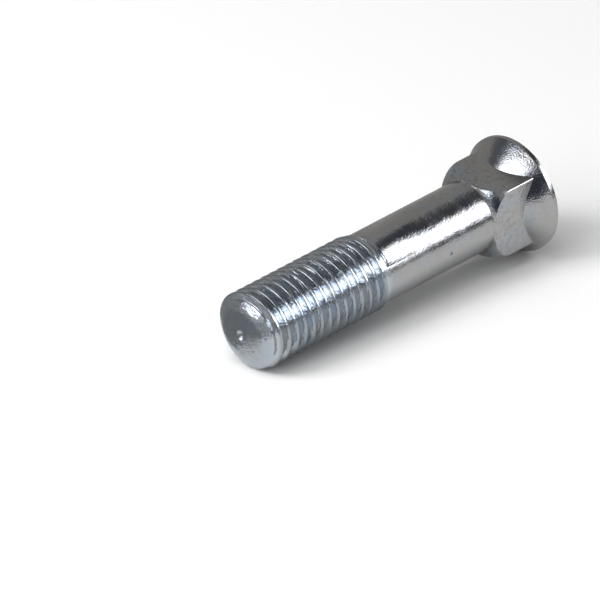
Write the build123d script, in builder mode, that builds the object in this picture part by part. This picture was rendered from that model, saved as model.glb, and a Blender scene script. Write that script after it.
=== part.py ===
from build123d import *
import os
from math import ceil, radians, sqrt, tan

# Plow bolt: a flat countersunk head, a square neck, a plain shank and a rolled coarse thread.
# The bolt stands on the flat face of its head. The origin is the centre of that face, and +Z
# runs up the shank to the threaded point. Lengths are in millimetres, angles in degrees.

# The forged blank
overall_length = 87.0
head_diameter = 28.1
rim_height = 1.3
rim_chamfer = 0.3
countersink_angle = 97.0        # included angle of the cone under the head
shank_diameter = 17.45
neck_width = 17.6               # across the flats of the square neck
neck_corner_radius = 0.5
neck_height = 15.3              # from the head's face to where the neck has run out
nose_height = 5.4               # length over which each neck corner rounds down to the shank

# The rolled thread
thread_diameter = 18.9
thread_pitch = 2.54
thread_length = 38.4
flank_angle = 60.0              # included angle of the thread's V
shoulder_slope = 30.0           # rise of the first crest from the shank, against the axis
run_out_length = 3.0            # the groove fades out over this length beside the shank
ridge_burial = 0.15             # the ridge reaches this far into its core
crest_clearance = 0.5           # the turned outline passes this far outside the crests

# The point
face_diameter = 9.0
edge_width = 2.3                # rounded edge of the face, measured across and along the axis
edge_height = 0.65
point_slope = 35.0              # fall of the point's cone, against the face
dimple_diameter = 2.8
dimple_depth = 0.7

# Sizes that follow from these
head_radius = head_diameter / 2
shank_radius = shank_diameter / 2
thread_radius = thread_diameter / 2
cone_top_height = rim_height + (head_radius - shank_radius) / tan(radians(countersink_angle / 2))
neck_corner_reach = neck_width / sqrt(2) - neck_corner_radius * (sqrt(2) - 1)
nose_base_height = neck_height - nose_height
flank_run = tan(radians(flank_angle / 2))
crest_flat = thread_pitch / 8
root_flat = thread_pitch / 6
thread_depth = (thread_pitch - crest_flat - root_flat) / 2 / flank_run
root_radius = thread_radius - thread_depth
thread_start = overall_length - thread_length
ridge_base = thread_start - thread_pitch / 3    # the first crest rises out of the shoulder
turn_count = ceil(thread_length / thread_pitch) + 1
half_crest = crest_flat / 2
half_base = half_crest + (thread_depth + ridge_burial) * flank_run
clear_radius = thread_radius + crest_clearance
core_base = thread_start - 2 * thread_pitch
shoulder_foot = thread_start - (shank_radius - root_radius + ridge_burial) / tan(radians(shoulder_slope))
shoulder_run = (clear_radius - root_radius + ridge_burial) / tan(radians(shoulder_slope))
run_out_base = thread_start + thread_pitch / 4
point_edge_radius = face_diameter / 2 + edge_width
point_edge_level = overall_length - edge_height
point_cone_fall = (clear_radius - point_edge_radius) * tan(radians(point_slope))

# Forged blank: head and plain shank, ending in the cone that fills the groove's run-out
with BuildPart() as bolt:
    with BuildSketch(Plane.XZ):
        Polygon(
            (0, 0),
            (head_radius, 0),
            (head_radius, rim_height),
            (shank_radius, cone_top_height),
            (shank_radius, run_out_base),
            (root_radius - ridge_burial, run_out_base + run_out_length),
            (0, run_out_base + run_out_length),
            align=None,
        )
    revolve(axis=Axis.Z)
    rim_edges = bolt.edges().filter_by(GeomType.CIRCLE).group_by(SortBy.RADIUS)[-1]
    chamfer(rim_edges, rim_chamfer)

# Square neck, its corners rounded down to the shank by a turned outline
with BuildPart() as neck:
    with BuildSketch(Plane.XY.offset(rim_height)):
        RectangleRounded(neck_width, neck_width, neck_corner_radius)
    extrude(amount=neck_height - rim_height)
    with BuildSketch(Plane.XZ):
        with BuildLine():
            corner = Line((neck_corner_reach, 0), (neck_corner_reach, nose_base_height))
            TangentArc(corner @ 1, (shank_radius, neck_height), tangent=(0, 1))
            Polyline((shank_radius, neck_height), (0, neck_height), (0, 0), corner @ 0)
        make_face()
    revolve(axis=Axis.Z, mode=Mode.INTERSECT)

# One turn of the thread's ridge
with BuildPart() as turn:
    with BuildLine():
        helix = Helix(thread_pitch, thread_pitch, root_radius)
    with BuildSketch(Plane.XZ):
        Polygon(
            (root_radius - ridge_burial, -half_base),
            (thread_radius, -half_crest),
            (thread_radius, half_crest),
            (root_radius - ridge_burial, half_base),
            align=None,
        )
    sweep(path=helix, is_frenet=True)

# Thread: the turns stacked on their core, turned down to the first crest's shoulder and the point
with BuildPart() as thread:
    with Locations((0, 0, core_base)):
        Cylinder(root_radius, overall_length, align=(Align.CENTER, Align.CENTER, Align.MIN))
    with Locations(*[(0, 0, ridge_base + i * thread_pitch) for i in range(turn_count)]):
        add(turn.part)
    with BuildSketch(Plane.XZ):
        with BuildLine():
            face = Line((0, overall_length), (face_diameter / 2, overall_length))
            edge = TangentArc(face @ 1, (point_edge_radius, point_edge_level), tangent=(1, 0))
            Polyline(
                edge @ 1,
                (clear_radius, point_edge_level - point_cone_fall),
                (clear_radius, shoulder_foot + shoulder_run),
                (root_radius - ridge_burial, shoulder_foot),
                (0, shoulder_foot),
                face @ 0,
            )
        make_face()
    revolve(axis=Axis.Z, mode=Mode.INTERSECT)

with bolt:
    add(neck.part)
    add(thread.part)
    # Centre dimple in the point's face
    with BuildSketch(Plane.XZ):
        with BuildLine():
            rim = Line((0, overall_length), (dimple_diameter / 2, overall_length))
            bottom = (0, overall_length - dimple_depth)
            TangentArc(bottom, rim @ 1, tangent=(1, 0))
            Line(bottom, rim @ 0)
        make_face()
    revolve(axis=Axis.Z, mode=Mode.SUBTRACT)

bolt.part.label = "bolt"
os.makedirs("parts", exist_ok=True)
export_step(bolt.part, "parts/bolt.step")
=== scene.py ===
import math

import bpy
from mathutils import Matrix, Vector


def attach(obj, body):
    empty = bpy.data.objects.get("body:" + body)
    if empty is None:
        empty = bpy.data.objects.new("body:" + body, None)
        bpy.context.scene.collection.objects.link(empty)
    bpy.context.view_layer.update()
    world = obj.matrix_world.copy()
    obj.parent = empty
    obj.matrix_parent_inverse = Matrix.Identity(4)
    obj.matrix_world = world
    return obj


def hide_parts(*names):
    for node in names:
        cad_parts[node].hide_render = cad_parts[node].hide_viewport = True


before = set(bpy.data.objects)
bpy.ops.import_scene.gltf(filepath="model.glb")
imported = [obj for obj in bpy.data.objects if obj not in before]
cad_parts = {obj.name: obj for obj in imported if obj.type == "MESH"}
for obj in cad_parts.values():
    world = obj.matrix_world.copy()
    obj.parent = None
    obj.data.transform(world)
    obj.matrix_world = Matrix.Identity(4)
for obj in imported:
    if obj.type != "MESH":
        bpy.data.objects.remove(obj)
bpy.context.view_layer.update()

mm = 0.001  # lengths that are multiplied by this are in millimetres, the others in metres
sameSpot = 0.002  # vertices nearer than this are one
fullTurn = 160  # steps round a turned piece


def clearSelection():
    active = bpy.context.view_layer.objects.active
    if active and active.mode != "OBJECT":
        bpy.ops.object.mode_set(mode="OBJECT")
    bpy.ops.object.select_all(action="DESELECT")


def pick(piece):
    clearSelection()
    piece.select_set(True)
    bpy.context.view_layer.objects.active = piece


def editAll(piece):
    # into edit mode with the whole piece selected
    pick(piece)
    bpy.ops.object.mode_set(mode="EDIT")
    bpy.ops.mesh.select_all(action="SELECT")


def leaveEdit():
    bpy.ops.object.mode_set(mode="OBJECT")


def drawOutline(name, points):
    # a vertex extruded from point to point, radius along X and height along Z
    clearSelection()
    bpy.ops.mesh.primitive_plane_add(size=mm, location=(0, 0, 0))
    piece = bpy.context.object
    piece.name = piece.data.name = name
    bpy.ops.object.mode_set(mode="EDIT")
    bpy.ops.mesh.select_mode(type="VERT")
    bpy.ops.mesh.select_all(action="SELECT")
    bpy.ops.mesh.merge(type="CENTER")
    bpy.ops.transform.translate(value=(points[0][0] * mm, 0, points[0][1] * mm))
    for (r0, z0), (r1, z1) in zip(points, points[1:]):
        bpy.ops.mesh.extrude_vertices_move(
            TRANSFORM_OT_translate={"value": ((r1 - r0) * mm, 0, (z1 - z0) * mm)})
    leaveEdit()
    return piece


def closeUp(piece):
    # doubles first, then the normals
    editAll(piece)
    bpy.ops.mesh.remove_doubles(threshold=sameSpot * mm)
    bpy.ops.mesh.normals_make_consistent(inside=False)
    leaveEdit()
    return piece


def turned(name, points):
    # the outline spun once round the bolt's axis
    piece = drawOutline(name, points)
    editAll(piece)
    bpy.ops.mesh.spin(steps=fullTurn, angle=2 * math.pi, center=(0, 0, 0), axis=(0, 0, 1))
    leaveEdit()
    return closeUp(piece)


def combine(piece, other, operation):
    pick(piece)
    joint = piece.modifiers.new("combine", "BOOLEAN")
    joint.operation = operation
    joint.solver = "EXACT"
    joint.object = other
    bpy.ops.object.modifier_apply(modifier=joint.name)
    bpy.data.objects.remove(other)


def arc(centre, radius, start, end, count):
    # points round a centre, angles in degrees from the radius direction towards the height
    turns = [math.radians(start + (end - start) * i / count) for i in range(count + 1)]
    return [(centre[0] + radius * math.cos(t), centre[1] + radius * math.sin(t)) for t in turns]


# the forged blank: head, cone and plain shank
blank = {
    "headRadius": 14.047,  # just inside the frame's box
    "faceRing": 5.0,  # a ring this far in from the rim
    "rimHeight": 1.3,
    "rimEdge": 0.3,
    "rimDrop": 0.15,  # the rim starts to round over this far below its height
    "coneHalfAngle": 48.5,
    "shankRadius": 8.725,
    "shankRings": (20, 34),  # rings at these heights
    "shankTop": 49.235,
    "runOut": 3.0,
    "runOutRadius": 7.6,
}
coneRun = blank["headRadius"] - blank["shankRadius"]
coneTop = blank["rimHeight"] + coneRun / math.tan(math.radians(blank["coneHalfAngle"]))
edge = blank["rimEdge"]
edgeCentre = blank["headRadius"] - edge
coneSlope = 90 - blank["coneHalfAngle"]
points = [(0, 0), (blank["headRadius"] - blank["faceRing"], 0)]
points += arc((edgeCentre, edge), edge, -90, 0, count=4)
points += arc((edgeCentre, blank["rimHeight"] - blank["rimDrop"]), edge, 0, coneSlope, count=3)
points += [(blank["shankRadius"], z) for z in (coneTop, *blank["shankRings"], blank["shankTop"])]
points += [(r, blank["shankTop"] + blank["runOut"]) for r in (blank["runOutRadius"], 0)]
bolt = turned("plowBolt", points)
print("blank turned")

# the square neck, its corners rounded down to the shank
neck = {
    "width": 17.6,
    "cornerRadius": 0.5,
    "cornerSteps": 5,
    "base": 1.3,
    "top": 15.3,
    "noseHeight": 5.4,
    "noseSteps": 14,
    "noseOverrun": 1.06,  # the nose's curve goes on a little into the shank
}
clearSelection()
bpy.ops.mesh.primitive_cube_add(size=1, location=(0, 0, 0))
square = bpy.context.object
square.name = square.data.name = "squareNeck"
bpy.ops.object.mode_set(mode="EDIT")
bpy.ops.mesh.select_all(action="SELECT")
bpy.ops.transform.resize(
    value=(neck["width"] * mm, neck["width"] * mm, (neck["top"] - neck["base"]) * mm))
bpy.ops.transform.translate(value=(0, 0, (neck["top"] + neck["base"]) / 2 * mm))
leaveEdit()
for e in square.data.edges:  # the four upright edges
    a, b = (square.data.vertices[i].co for i in e.vertices)
    e.select = abs(a.z - b.z) > mm
for part in (*square.data.vertices, *square.data.polygons):
    part.select = False
bpy.ops.object.mode_set(mode="EDIT")
bpy.ops.mesh.select_mode(type="EDGE")
bpy.ops.mesh.bevel(offset=neck["cornerRadius"] * mm, segments=neck["cornerSteps"], affect="EDGES")
leaveEdit()

reach = neck["width"] / math.sqrt(2) - neck["cornerRadius"] * (math.sqrt(2) - 1)
drop = reach - blank["shankRadius"]
noseRadius = (drop ** 2 + neck["noseHeight"] ** 2) / (2 * drop)
noseAngle = math.degrees(math.asin(neck["noseHeight"] / noseRadius))
noseBase = neck["top"] - neck["noseHeight"]
points = [(0, 0), (reach, 0)]
points += arc(
    (reach - noseRadius, noseBase), noseRadius, 0, noseAngle * neck["noseOverrun"], neck["noseSteps"])
points += [(0, points[-1][1])]
combine(square, turned("neckOutline", points), "INTERSECT")
combine(bolt, square, "UNION")
print("neck joined")

# the thread: one pitch of its outline screwed up the shank, then turned to its shoulder and point
thread = {
    "radius": 9.45,
    "pitch": 2.54,
    "halfAngle": 30.0,
    "standardCrest": 0.3175,  # the width that sets the thread's depth
    "crestFlat": 0.56,
    "rootFlat": 0.4233,
    "crestRound": 0.12,
    "rootRound": 0.14,
    "flankEnd": 0.06,  # a ring this far into each end of a flank
    "firstCrest": 47.753,
    "lead": 2,  # pitches screwed below the first crest's
    "leadCut": 1.5,  # pitches of it cut off again
    "turns": 20,
    "steps": 96,
    "spare": 1.0,  # left above the end face until it is turned
    "cutMargin": 0.0001,
    "clearance": 0.5,  # the turned outline passes this far outside the crests
    "shoulderFoot": 46.898,
    "shoulderRadius": 7.742,
    "shoulderSlope": 30.0,
    "top": 86.9999,  # just inside the frame's box
    "faceRadius": 4.5,
    "edgeWidth": 2.3,
    "edgeHeight": 0.65,
    "pointSlope": 35.0,
    "dimpleRadius": 1.4,
    "dimpleDepth": 0.7,
}
pitch = thread["pitch"]
flankRise = (pitch - thread["standardCrest"] - thread["rootFlat"]) / 2
depth = flankRise / math.tan(math.radians(thread["halfAngle"]))
rootRadius = thread["radius"] - depth
start = thread["firstCrest"] - pitch / 2 - thread["lead"] * pitch
# where the straight flank would meet the root and the crest
foot = Vector((rootRadius, thread["rootFlat"] / 2))
brow = Vector((thread["radius"], (pitch - thread["crestFlat"]) / 2))
flank = (brow - foot).normalized()


def rounded(corner, before, after, size, steps):
    # a soft corner: points on a curve that leaves both sides tangentially
    a, b = corner - before * size, corner + after * size
    turns = [i / steps for i in range(steps + 1)]
    return [tuple((1 - t) ** 2 * a + 2 * t * (1 - t) * corner + t * t * b) for t in turns]


along = Vector((0, 1))
lower = rounded(foot, along, flank, thread["rootRound"], steps=3)
upper = rounded(brow, flank, along, thread["crestRound"], steps=4)
inset = flank * thread["flankEnd"]
rise = [(rootRadius, 0), *lower, tuple(Vector(lower[-1]) + inset)]
rise += [tuple(Vector(upper[0]) - inset), *upper, (thread["radius"], pitch / 2)]
profile = rise + [(r, pitch - z) for r, z in reversed(rise[:-1])]
helicoid = drawOutline("thread", [(r, start + z) for r, z in profile])
pick(helicoid)
screw = helicoid.modifiers.new("screw", "SCREW")
screw.axis = "Z"
screw.angle = 2 * math.pi
screw.screw_offset = pitch * mm
screw.iterations = thread["turns"]
screw.steps = screw.render_steps = thread["steps"]
screw.use_merge_vertices = False
bpy.ops.object.modifier_apply(modifier=screw.name)
closeUp(helicoid)
cuts = ((start + thread["leadCut"] * pitch, True), (thread["top"] + thread["spare"], False))
for height, keepUpper in cuts:
    editAll(helicoid)
    bpy.ops.mesh.bisect(
        plane_co=(0, 0, height * mm), plane_no=(0, 0, 1), use_fill=True,
        clear_inner=keepUpper, clear_outer=not keepUpper, threshold=thread["cutMargin"] * mm)
    leaveEdit()
closeUp(helicoid)
print("thread screwed", len(helicoid.data.polygons))

# its turned outline: shoulder, rounded point and centre dimple
clear = thread["radius"] + thread["clearance"]
edgeRadius = thread["faceRadius"] + thread["edgeWidth"]
edgeLevel = thread["top"] - thread["edgeHeight"]
bend = (thread["edgeWidth"] ** 2 + thread["edgeHeight"] ** 2) / (2 * thread["edgeHeight"])
sweepAngle = math.degrees(math.asin(thread["edgeWidth"] / bend))
shoulderRise = (clear - thread["shoulderRadius"]) / math.tan(math.radians(thread["shoulderSlope"]))
points = [(0, thread["shoulderFoot"]), (thread["shoulderRadius"], thread["shoulderFoot"]),
          (clear, thread["shoulderFoot"] + shoulderRise),
          (clear, edgeLevel - (clear - edgeRadius) * math.tan(math.radians(thread["pointSlope"])))]
points += arc((thread["faceRadius"], thread["top"] - bend), bend, 90 - sweepAngle, 90, count=8)
dip = (thread["dimpleRadius"] ** 2 + thread["dimpleDepth"] ** 2) / (2 * thread["dimpleDepth"])
lip = math.degrees(math.asin(thread["dimpleRadius"] / dip))
points += arc((0, thread["top"] - thread["dimpleDepth"] + dip), dip, -90 + lip, -90, count=8)
combine(helicoid, turned("threadOutline", points), "INTERSECT")
combine(bolt, helicoid, "UNION")

sharpFrom = 32  # degrees between two faces whose edge stays sharp
closeUp(bolt)
bpy.ops.object.shade_smooth_by_angle(angle=math.radians(sharpFrom))
bolt.data.validate()
triangles = sum(len(p.vertices) - 2 for p in bolt.data.polygons)
print("bolt whole", len(bolt.data.polygons), "faces,", triangles, "triangles")


# bright zinc plate over the forged steel; each noise is its scale, detail and roughness
plate = {
    "colour": (0.366, 0.369, 0.373),
    "warm": (0.366, 0.357, 0.342),
    "cool": (0.342, 0.369, 0.398),
    "stains": (260, 4, 0.6),
    "stainStops": (0.32, 0.5, 0.68),
    "clouds": (900, 4, 0.6),
    "cloudStops": (0.45, 0.7),
    "cloudTone": 0.93,
    "roughness": (0.10, 0.19),
    "roughStops": (0.3, 0.7),
    "waves": (350, 3, 0.5),
    "waveDepth": 0.09,
    "grain": (2200, 2, 0.5),
    "grainDepth": 0.042,
}
zinc = bpy.data.materials.new("zincPlate")
zinc.use_nodes = True
nodes, links = zinc.node_tree.nodes, zinc.node_tree.links
shader = nodes["Principled BSDF"]
shader.inputs["Metallic"].default_value = 1.0
place = nodes.new("ShaderNodeTexCoord").outputs["Object"]
split = nodes.new("ShaderNodeSeparateXYZ")
links.new(place, split.inputs[0])


def noise(kind, at=None):
    n = nodes.new("ShaderNodeTexNoise")
    for name, number in zip(("Scale", "Detail", "Roughness"), kind):
        n.inputs[name].default_value = number
    links.new(at or place, n.inputs["Vector"])
    return n.outputs["Fac"]


def ramp(source, stops):
    r = nodes.new("ShaderNodeValToRGB")
    stops = [(at, (*colour, 1)) for at, colour in stops]
    for element, stop in zip(r.color_ramp.elements, (stops[0], stops[-1])):
        element.position, element.color = stop
    for at, colour in stops[1:-1]:
        r.color_ramp.elements.new(at).color = colour
    links.new(source, r.inputs["Fac"])
    return r.outputs["Color"]


def bump(height, depth, after=None):
    b = nodes.new("ShaderNodeBump")
    b.inputs["Strength"].default_value = 1.0
    b.inputs["Distance"].default_value = depth * mm
    links.new(height, b.inputs["Height"])
    if after:
        links.new(after, b.inputs["Normal"])
    return b.outputs["Normal"]


def sums(operation, first, second, third=None):
    m = nodes.new("ShaderNodeMath")
    m.operation = operation
    for socket, value in zip(m.inputs, (first, second, third)):
        if isinstance(value, (int, float)):
            socket.default_value = value
        elif value:
            links.new(value, socket)
    return m.outputs[0]


def both(first, second):
    return sums("MULTIPLY", first, second)


def between(value, low, high, toLow=0.0, toHigh=1.0):
    m = nodes.new("ShaderNodeMapRange")
    for name, number in (("From Min", low), ("From Max", high), ("To Min", toLow), ("To Max", toHigh)):
        m.inputs[name].default_value = number
    links.new(value, m.inputs["Value"])
    return m.outputs["Result"]


def within(length, low, high, toLow=0.0, toHigh=1.0):
    # the same for a length, its ends in millimetres
    return between(length, low * mm, high * mm, toLow, toHigh)


def vectorMath(operation, first, second=None):
    v = nodes.new("ShaderNodeVectorMath")
    v.operation = operation
    links.new(first, v.inputs[0])
    if second:
        v.inputs[1].default_value = second
    return v


def tinted(colour, factor, tone):
    m = nodes.new("ShaderNodeMix")
    m.data_type = "RGBA"
    m.blend_type = "MULTIPLY"
    m.inputs["B"].default_value = (*tone, 1)
    links.new(factor, m.inputs["Factor"])
    links.new(colour, m.inputs["A"])
    return m.outputs["Result"]


def wandering(kind, reach):
    # the height up the bolt, shifted here and there
    return sums("MULTIPLY_ADD", noise(kind), reach * mm, split.outputs["Z"])


waves = noise(plate["waves"])
stains = zip(plate["stainStops"], (plate["cool"], plate["colour"], plate["warm"]))
tone = ramp(noise(plate["stains"]), stains)

# the distance from the bolt's axis
axis = nodes.new("ShaderNodeCombineXYZ")
for side in "XY":
    links.new(split.outputs[side], axis.inputs[side])
radius = vectorMath("LENGTH", axis.outputs[0]).outputs["Value"]

# the rolled thread, bluer, with painted light brightening its grooves
rolled = {
    "from": 1.4,  # above the foot of the shoulder
    "to": 2.4,
    "border": (700, 3, 0.6),
    "borderReach": 1.2,
    "tint": (0.89, 0.955, 1.02),
    "grooveFrom": 0.1,  # below the crests
    "grooveTo": 0.6,
    "paintedGrooveLightTone": 1.34,
    "lines": (2300, 2, 0.5),  # fine lines along the turns from the rolling dies
    "lineSquash": (0.09, 0.09, 1.0),
    "lineDepth": 0.14,
    "dents": (900, 2, 0.5),
    "dentDepth": 0.04,
}
level = wandering(rolled["border"], rolled["borderReach"])
inThread = within(level, *(thread["shoulderFoot"] + rolled[at] for at in ("from", "to")))
# painted light: the grooves' colour is raised to stand in for the reflections that brighten them
sunken = within(radius, *(thread["radius"] - rolled[at] for at in ("grooveFrom", "grooveTo")))
grooveLightMask = both(inThread, sunken)

# the cut end, duller, and darker partly as its duller cut face and partly as painted shade
cutEnd = {
    "from": 1.6,  # below the face
    "to": 0.6,  # above it
    "tone": 0.80,
    "roughness": 0.12,
    "dents": (420, 3, 0.55),
    "dentDepth": 0.22,
}
atEnd = within(level, thread["top"] - cutEnd["from"], thread["top"] + cutEnd["to"])

# the neck's rounded corners, a little paler and duller; each pair runs from none of it to all of it
nose = {
    "border": (500, 2, 0.5),
    "borderReach": 1.6,
    "radii": (8.9, 9.8),
    "rise": (9.5, 13.0),
    "fall": (20.0, 18.0),
    "tone": (0.99, 1.04, 1.1),
    "roughness": 0.06,
}
wander = wandering(nose["border"], nose["borderReach"])
noseHeights = both(within(wander, *nose["rise"]), within(wander, *nose["fall"]))
onNose = both(within(radius, *nose["radii"]), noseHeights)

# the neck is mottled, most where it meets the shank
mottling = {
    "grain": (1300, 2, 0.5),
    "stops": (0.50, 0.70),
    "radii": (8.5, 8.85),
    "rise": (3.0, 15.0),
    "least": 0.15,
    "fall": (20.0, 16.5),
    "tone": (0.74, 0.69, 0.61),
}
neckRise = within(wander, *mottling["rise"], mottling["least"])
onNeck = both(within(radius, *mottling["radii"]), both(neckRise, within(wander, *mottling["fall"])))
mottle = both(between(noise(mottling["grain"]), *mottling["stops"]), onNeck)

# small dark pits, and a larger one on the shank
pitting = {
    "scale": 170,
    "size": (0.045, 0.025),
    "rarity": 0.72,  # the share of places without one
    "tone": 0.35,
    "largeAt": (8.725, 0.0, 29.1),
    "largeSize": (0.55, 0.2475),
}
pits = nodes.new("ShaderNodeTexVoronoi")
pits.inputs["Scale"].default_value = pitting["scale"]
links.new(place, pits.inputs["Vector"])
chance = nodes.new("ShaderNodeSeparateColor")
links.new(pits.outputs["Color"], chance.inputs[0])
pit = both(between(pits.outputs["Distance"], *pitting["size"]),
           sums("GREATER_THAN", chance.outputs[0], pitting["rarity"]))
toLarge = vectorMath("DISTANCE", place, [x * mm for x in pitting["largeAt"]]).outputs["Value"]

clouds = between(noise(plate["clouds"]), *plate["cloudStops"])
for factor, shade in (
        (inThread, rolled["tint"]),
        # the cut end: its duller face, and painted shade
        (atEnd, [cutEnd["tone"]] * 3),
        # painted light in the grooves
        (grooveLightMask, [rolled["paintedGrooveLightTone"]] * 3),
        (onNose, nose["tone"]),
        (mottle, mottling["tone"]),
        (clouds, [plate["cloudTone"]] * 3),
        (pit, [pitting["tone"]] * 3),
        (within(toLarge, *pitting["largeSize"]), [pitting["tone"]] * 3)):
    tone = tinted(tone, factor, shade)
links.new(tone, shader.inputs["Base Color"])

rough = between(waves, *plate["roughStops"], *plate["roughness"])
rough = sums("MULTIPLY_ADD", atEnd, cutEnd["roughness"], rough)
rough = sums("MULTIPLY_ADD", onNose, nose["roughness"], rough)
links.new(rough, shader.inputs["Roughness"])

lines = noise(rolled["lines"], vectorMath("MULTIPLY", place, rolled["lineSquash"]).outputs[0])
surface = None
for height, relief in (
        (waves, plate["waveDepth"]),
        (both(lines, inThread), rolled["lineDepth"]),
        (both(noise(rolled["dents"]), inThread), rolled["dentDepth"]),
        (both(noise(cutEnd["dents"]), atEnd), cutEnd["dentDepth"]),
        (noise(plate["grain"]), plate["grainDepth"])):
    surface = bump(height, relief, surface)
links.new(surface, shader.inputs["Normal"])
bolt.data.materials.clear()
bolt.data.materials.append(zinc)
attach(bolt, "root")
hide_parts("bolt")
print("bolt finished")


# the studio: the bolt lies on its side on a pale table that shows from above only
studio = {
    "tableUp": (-0.0469, 0.9974, -0.0545),
    "tableDrop": 14.065,  # below the bolt's axis at its head
    "tableSize": 4.0,
    "tableTone": 0.78,
    "tableShown": 0.98,  # to the camera and in the metal
    "roomTone": (0.394, 0.386, 0.376),
    "roomSize": 5.0,
    "ambient": 0.36,
    "right": (0.7054, -0.0056, -0.7088),  # along the table
    "sheetLift": 1.0,  # above the table
    "aim": 43.5,  # the middle of the bolt's length
}
up = Vector(studio["tableUp"]).normalized()
right = Vector(studio["right"])
right = (right - right.dot(up) * up).normalized()
away = up.cross(right)
middle = Vector((0, 0, studio["aim"] * mm))


def stageMaterial(name):
    m = bpy.data.materials.new(name)
    m.use_nodes = True
    for n in list(m.node_tree.nodes):
        if n.type != "OUTPUT_MATERIAL":
            m.node_tree.nodes.remove(n)
    return m, m.node_tree.nodes, m.node_tree.links, m.node_tree.nodes["Material Output"]


def glowing(name, tone, soft=None):
    m, nodes, links, out = stageMaterial(name)
    glow = nodes.new("ShaderNodeEmission")
    glow.inputs["Color"].default_value = (*tone, 1)
    path, direct = nodes.new("ShaderNodeLightPath"), nodes.new("ShaderNodeMath")
    direct.operation = "LESS_THAN"  # none of it reaches the table by way of the metal
    direct.inputs[1].default_value = 0.5
    links.new(path.outputs["Diffuse Depth"], direct.inputs[0])
    links.new(direct.outputs[0], glow.inputs["Strength"])
    surface = glow.outputs[0]
    if soft:
        # thins out towards its edges
        sheet, across = nodes.new("ShaderNodeTexCoord"), nodes.new("ShaderNodeSeparateXYZ")
        links.new(sheet.outputs["UV"], across.inputs[0])
        faded = nodes.new("ShaderNodeMath")
        faded.operation = "MULTIPLY"
        for i in (0, 1):
            inward, fade = nodes.new("ShaderNodeMath"), nodes.new("ShaderNodeMapRange")
            inward.operation = "PINGPONG"  # from 0 at an edge to 0.5 in the middle
            inward.inputs[1].default_value = 0.5
            fade.interpolation_type = "SMOOTHSTEP"
            fade.inputs["From Max"].default_value = soft[i]
            links.new(across.outputs[i], inward.inputs[0])
            links.new(inward.outputs[0], fade.inputs["Value"])
            links.new(fade.outputs["Result"], faded.inputs[i])
        clear, blend = nodes.new("ShaderNodeBsdfTransparent"), nodes.new("ShaderNodeMixShader")
        links.new(faded.outputs[0], blend.inputs[0])
        links.new(clear.outputs[0], blend.inputs[1])
        links.new(surface, blend.inputs[2])
        surface = blend.outputs[0]
    links.new(surface, out.inputs["Surface"])
    return m


def seenBy(nodes, links):
    # camera, glossy and transmission rays as one factor
    path = nodes.new("ShaderNodeLightPath")
    first, second = nodes.new("ShaderNodeMath"), nodes.new("ShaderNodeMath")
    for m in (first, second):
        m.operation = "MAXIMUM"
    links.new(path.outputs["Is Camera Ray"], first.inputs[0])
    links.new(path.outputs["Is Glossy Ray"], first.inputs[1])
    links.new(first.outputs[0], second.inputs[0])
    links.new(path.outputs["Is Transmission Ray"], second.inputs[1])
    return second.outputs[0]


def bearing(degrees, height):
    # a direction from the bolt, in degrees round the table from the right towards the back and above it
    turn, rise = math.radians(degrees), math.radians(height)
    return (right * math.cos(turn) + away * math.sin(turn)) * math.cos(rise) + up * math.sin(rise)


def facing(direction):
    # the turn that faces the bolt from that direction, upright on the table
    side = up.cross(direction).normalized()
    return Matrix((side, direction.cross(side), direction)).transposed().to_euler()


clearSelection()
bpy.ops.mesh.primitive_plane_add(
    size=studio["tableSize"], location=-up * studio["tableDrop"] * mm,
    rotation=up.to_track_quat("Z", "Y").to_euler())
table = bpy.context.object
table.name = "table"
m, nodes, links, out = stageMaterial("tableTop")
shown, tone = nodes.new("ShaderNodeBsdfDiffuse"), nodes.new("ShaderNodeMix")
tone.data_type = "RGBA"
tone.inputs["A"].default_value = (*[studio["tableTone"]] * 3, 1)
tone.inputs["B"].default_value = (*[studio["tableShown"]] * 3, 1)
links.new(seenBy(nodes, links), tone.inputs["Factor"])
links.new(tone.outputs["Result"], shown.inputs["Color"])
side, through, choose = (nodes.new("ShaderNodeNewGeometry"), nodes.new("ShaderNodeBsdfTransparent"),
                         nodes.new("ShaderNodeMixShader"))
links.new(side.outputs["Backfacing"], choose.inputs[0])
links.new(shown.outputs[0], choose.inputs[1])
links.new(through.outputs[0], choose.inputs[2])
links.new(choose.outputs[0], out.inputs["Surface"])
table.data.materials.append(m)

# what only the metal sees, all painted reflections: a grey room, dark boards and softboxes in it, and
# sheets on the table
clearSelection()
bpy.ops.mesh.primitive_uv_sphere_add(
    radius=studio["roomSize"], segments=48, ring_count=24, location=(0, 0, 0))
room = bpy.context.object
room.name = "room"
room.data.materials.append(glowing("roomGrey", studio["roomTone"]))
props = [room]


def screen(name, spot, turn, look):
    clearSelection()
    bpy.ops.mesh.primitive_plane_add(size=1, location=spot, rotation=turn)
    prop = bpy.context.object
    prop.name = name
    prop.scale = (*look["size"], 1)
    prop.data.materials.append(glowing(name, look["tone"], look.get("soft")))
    props.append(prop)


# a dark board behind each softbox and one low in front of the head, painted dark reflections, and the
# softboxes, glowing sheets that paint the highlights
boards = {
    "sideBoard": {"bearing": 20, "height": 31, "distance": 1.6, "size": (2.3, 2.1),
                  "tone": (0.078, 0.082, 0.097), "soft": (0.1, 0.08)},
    "frontBoard": {"bearing": -155, "height": 40, "distance": 1.0, "size": (2.8, 0.8),
                   "tone": (0.150, 0.157, 0.178), "soft": (0.2, 0.2)},
    "lowBoard": {"aim": 5.0, "bearing": -103, "height": 12, "distance": 0.12, "size": (0.08, 0.10),
                 "tone": (0.048, 0.054, 0.072), "soft": (0.10, 0.12)},
    "sideBox": {"bearing": -5, "height": 28.9, "distance": 0.9, "size": (1.35, 0.70),
                "tone": (7.2, 7.3, 7.7), "soft": (0.12, 0.46)},
    "frontBox": {"bearing": -147, "height": 34, "distance": 0.9, "size": (1.17, 0.6),
                 "tone": (6.3, 6.5, 7.0), "soft": (0.5, 0.35)},
}
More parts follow.
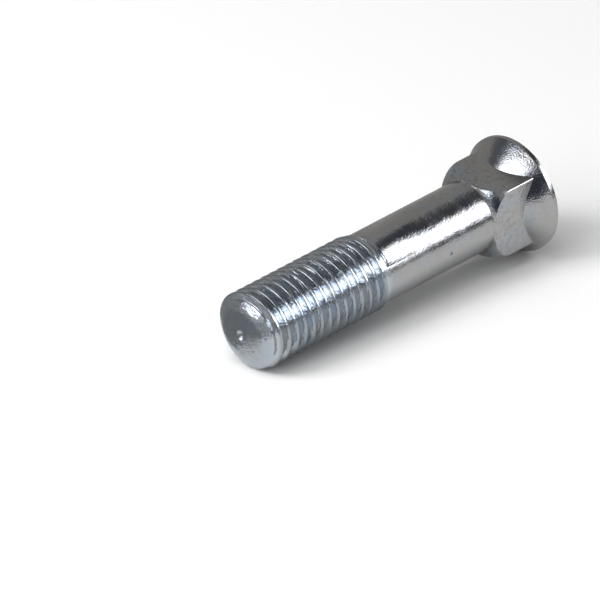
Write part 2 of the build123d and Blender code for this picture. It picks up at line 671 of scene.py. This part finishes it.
for name, board in boards.items():
    towards = bearing(board["bearing"], board["height"])
    aim = Vector((0, 0, board.get("aim", studio["aim"]) * mm))
    screen(name, aim + towards * board["distance"], facing(towards), board)

# grey sheets flat on the table that only the metal sees, a painted darker reflection of the table behind
# the bolt and past its threaded end; middles to the right and away
sheets = {
    "paintedBackReflection": {"middle": (0.0, 0.615), "size": (2.4, 1.2), "tone": studio["roomTone"]},
    "paintedEndReflection": {"middle": (-0.27, -0.05), "size": (0.40, 0.34), "tone": (0.31, 0.315, 0.32)},
}
lift = up * (studio["sheetLift"] - studio["tableDrop"]) * mm
flat = Matrix((right, away, up)).transposed().to_euler()
for name, sheet in sheets.items():
    screen(name, right * sheet["middle"][0] + away * sheet["middle"][1] + lift, flat, sheet)
for prop in props:
    prop.visible_camera = prop.visible_diffuse = prop.visible_shadow = False

world = bpy.data.worlds.new("studio")
bpy.context.scene.world = world
world.use_nodes = True
nodes, links = world.node_tree.nodes, world.node_tree.links
sky = nodes["Background"]
sky.inputs["Color"].default_value = (1, 1, 1, 1)
strength = nodes.new("ShaderNodeMix")
strength.data_type = "FLOAT"
strength.inputs["A"].default_value = studio["ambient"]
strength.inputs["B"].default_value = 1.0
links.new(seenBy(nodes, links), strength.inputs["Factor"])
links.new(strength.outputs["Result"], sky.inputs["Strength"])

# the lamps light the table and don't show in the metal
lamps = {
    "overhead": {"bearing": 225, "height": 67, "distance": 1.2, "size": (0.8, 0.8), "power": 4.7},
    "frontLamp": {"bearing": 240, "height": 31, "distance": 1.2, "size": (0.5, 0.4), "power": 3.0},
    "leftLamp": {"bearing": 203, "height": 41, "distance": 1.2, "size": (0.55, 0.45), "power": 8.0},
}
for name, lamp in lamps.items():
    clearSelection()
    towards = bearing(lamp["bearing"], lamp["height"])
    bpy.ops.object.light_add(
        type="AREA", location=middle + towards * lamp["distance"], rotation=facing(towards))
    box = bpy.context.object
    box.name = name
    box.data.shape = "RECTANGLE"
    box.data.size, box.data.size_y = lamp["size"]
    box.data.energy = lamp["power"]
    box.visible_glossy = False

viewer = {
    "place": (1.61811, 1.41033, 1.64319),
    "turn": (-32.324, 45.5624, -0.4968),
    "lens": 710.95,
    "sensor": 36,
    "clip": (0.1, 20),
}
clearSelection()
bpy.ops.object.camera_add(location=viewer["place"], rotation=[math.radians(a) for a in viewer["turn"]])
camera = bpy.context.object
camera.data.lens = viewer["lens"]
camera.data.sensor_width = viewer["sensor"]
camera.data.clip_start, camera.data.clip_end = viewer["clip"]
bpy.context.scene.camera = camera
bpy.context.scene.view_settings.view_transform = "Standard"
print("studio set")
